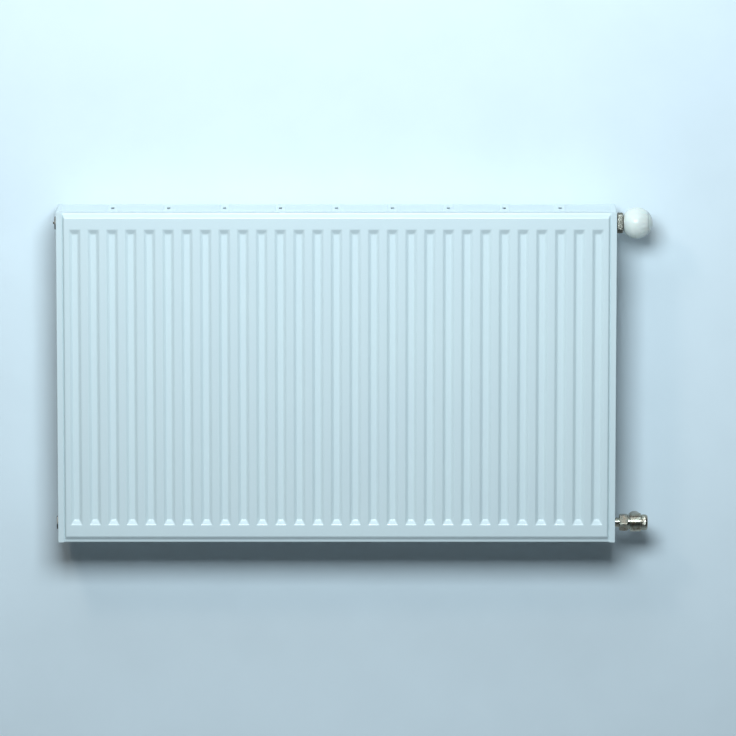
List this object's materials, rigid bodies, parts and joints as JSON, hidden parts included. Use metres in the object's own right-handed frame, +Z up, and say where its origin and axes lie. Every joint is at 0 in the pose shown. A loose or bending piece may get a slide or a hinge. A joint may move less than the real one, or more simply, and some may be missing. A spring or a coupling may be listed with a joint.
{
  "type": "panel radiator",
  "caption": "Wall-hung double-panel steel radiator with pressed flutes, side covers, top grille, thermostatic valve head and lockshield return valve.",
  "frame": {"origin": "centre of the four wall-fixing holes, on the wall plane behind the radiator", "axes": "+X along the radiator towards the valve end, +Y into the wall, +Z up"},
  "size_m": [1.0724, 0.135, 0.601],
  "materials": {
    "white_enamel": "white stoved enamel, satin",
    "clip_steel": "bright spring steel",
    "rail_enamel": "white powder coat",
    "grey_plastic": "moulded nylon",
    "plated_plug": "nickel-plated brass",
    "black_rubber": "moulded seal rubber",
    "raw_brass": "machined brass",
    "nickel_ring": "nickel-plated, knurled",
    "white_plastic": "moulded, satin gloss",
    "sensor_can": "drawn can",
    "rod_plastic": "moulded",
    "lockshield_brass": "dull nickel-tinted brass"
  },
  "bodies": {
    "radiator": {"front_panel_outer_sheet": "white_enamel", "front_panel_inner_sheet": "white_enamel", "rear_panel_inner_sheet": "white_enamel", "rear_panel_outer_sheet": "white_enamel", "front_convector": "white_enamel", "rear_convector": "white_enamel", "upper_left_tee": "white_enamel", "lower_left_tee": "white_enamel", "lower_right_tee": "white_enamel", "valve_housing": "white_enamel", "right_side_cover": "white_enamel", "left_side_cover": "white_enamel", "upper_left_lug": "white_enamel", "lower_left_lug": "white_enamel", "upper_right_lug": "white_enamel", "lower_right_lug": "white_enamel", "valve_return_spring": "clip_steel", "riser_tube": "clip_steel", "left_wall_bracket": "rail_enamel", "right_wall_bracket": "rail_enamel", "upper_left_hook_sleeve": "grey_plastic", "lower_left_hook_sleeve": "grey_plastic", "upper_right_hook_sleeve": "grey_plastic", "lower_right_hook_sleeve": "grey_plastic", "air_vent_plug": "plated_plug", "blanking_plug": "plated_plug", "supply_nipple": "plated_plug", "air_vent_seal": "black_rubber", "blanking_plug_seal": "black_rubber", "valve_insert_seal": "black_rubber", "tail_seal": "black_rubber", "spindle_seal": "black_rubber", "valve_insert": "raw_brass", "lockshield_gland": "raw_brass", "thermostat_ring_nut": "nickel_ring", "thermostat_base": "white_plastic", "lockshield_body": "lockshield_brass", "lockshield_tail": "lockshield_brass", "union_nut": "lockshield_brass"},
    "grille": {"top_grille": "white_enamel", "grille_clips": "clip_steel"},
    "vent_screw": {"air_vent_screw": "raw_brass"},
    "dial": {"thermostat_handwheel": "white_plastic", "thermostat_end_cap": "white_plastic", "overload_spring": "clip_steel"},
    "sensor": {"sensor_element": "sensor_can", "sensor_push_rod": "rod_plastic"},
    "stem": {"valve_stem": "clip_steel", "valve_disc": "black_rubber"},
    "spindle": {"lockshield_spindle": "raw_brass"},
    "cone": {"lockshield_cone": "raw_brass"},
    "hood": {"lockshield_cap": "lockshield_brass"}
  },
  "joints": [
    {"name": "thermostat_dial", "type": "hinge", "parent": "radiator", "child": "dial", "pos_m": [0.5374, -0.085, 0.273], "axis": [1, 0, 0], "range_deg": [-150, 150]},
    {"name": "sensor_slide", "type": "slide", "parent": "radiator", "child": "sensor", "axis": [1, 0, 0], "range_m": [-0.0016, 0.0016], "deforming": ["overload_spring"]},
    {"name": "valve_stem_slide", "type": "slide", "parent": "radiator", "child": "stem", "axis": [1, 0, 0], "range_m": [-0.0016, 0.0016], "deforming": ["valve_return_spring"]},
    {"name": "vent_screw_turn", "type": "hinge", "parent": "radiator", "child": "vent_screw", "pos_m": [-0.5, -0.085, 0.273], "axis": [-1, 0, 0], "range_deg": [0, 360]},
    {"name": "lockshield_cone_slide", "type": "slide", "parent": "radiator", "child": "cone", "axis": [1, 0, 0], "range_m": [-0.002, 0.002]},
    {"name": "lockshield_turn", "type": "hinge", "parent": "radiator", "child": "spindle", "pos_m": [0.545, -0.085, -0.273], "axis": [1, 0, 0], "range_deg": [-361, 361]},
    {"name": "cap_off", "type": "slide", "parent": "radiator", "child": "hood", "axis": [1, 0, 0], "range_m": [0, 0.03]},
    {"name": "grille_lift", "type": "slide", "parent": "radiator", "child": "grille", "axis": [0, 0, 1], "range_m": [0, 0.06]}
  ],
  "couplings": [
    {"joint": "sensor_slide", "follows": "thermostat_dial", "m_per_rad": 0.00057296},
    {"joint": "valve_stem_slide", "follows": "thermostat_dial", "m_per_rad": 0.00057296},
    {"joint": "lockshield_turn", "follows": "lockshield_cone_slide", "rad_per_m": 3141.6}
  ]
}
